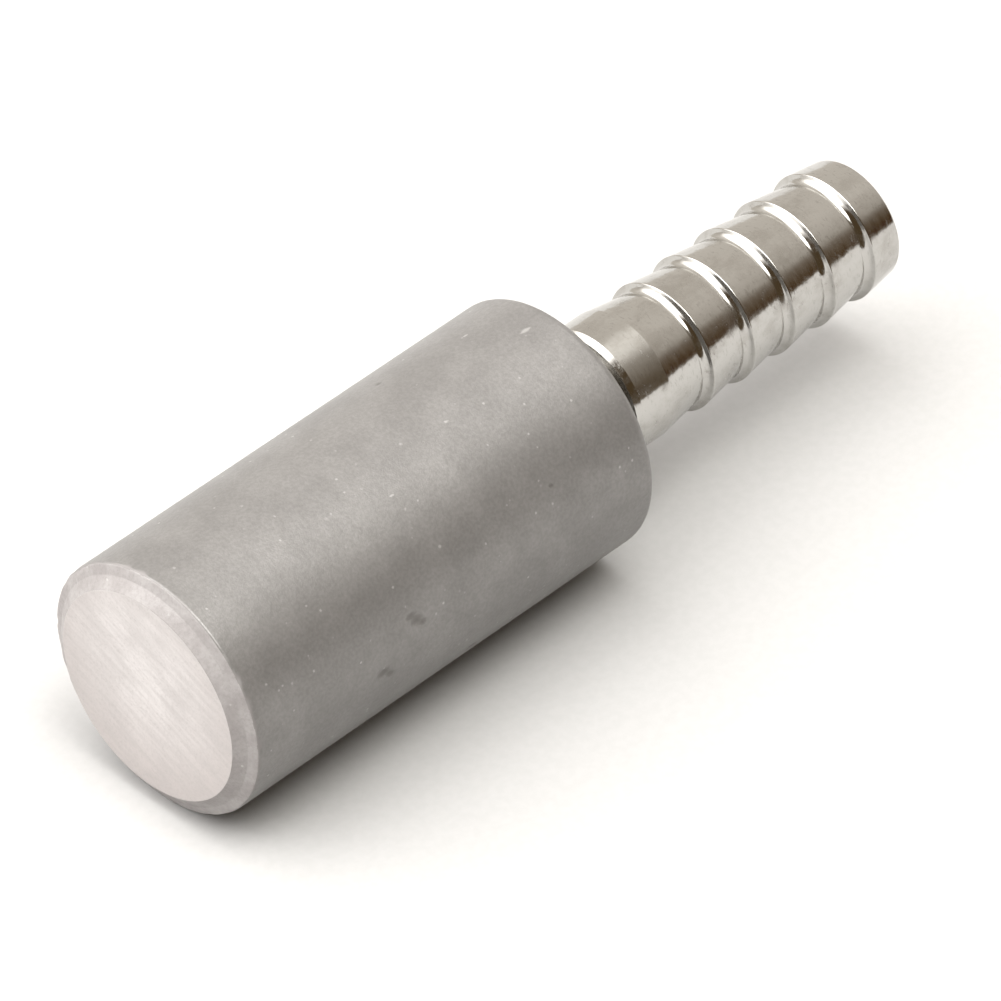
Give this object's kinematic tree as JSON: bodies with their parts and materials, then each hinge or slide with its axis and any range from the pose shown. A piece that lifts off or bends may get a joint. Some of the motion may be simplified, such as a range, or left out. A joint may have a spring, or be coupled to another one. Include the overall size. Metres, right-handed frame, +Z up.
{
  "type": "air stone",
  "caption": "Sintered metal air stone: a porous closed cylinder on a barbed hose stem, which lets air into water as fine bubbles.",
  "frame": {"origin": "centre of the footprint: midway along the length, below the part's axis, on the surface that it lies on", "axes": "+X along the part's own axis from the closed end of the stone to the hose tip, +Z up, away from the surface that it lies on"},
  "size_m": [0.0454, 0.0126, 0.0127],
  "materials": {
    "sintered_steel": "matte",
    "turned_steel": "polished",
    "braze": "satin"
  },
  "bodies": {
    "root": {"porous_cup": "sintered_steel", "barbed_stem": "turned_steel", "braze_ring": "braze"}
  },
  "joints": []
}
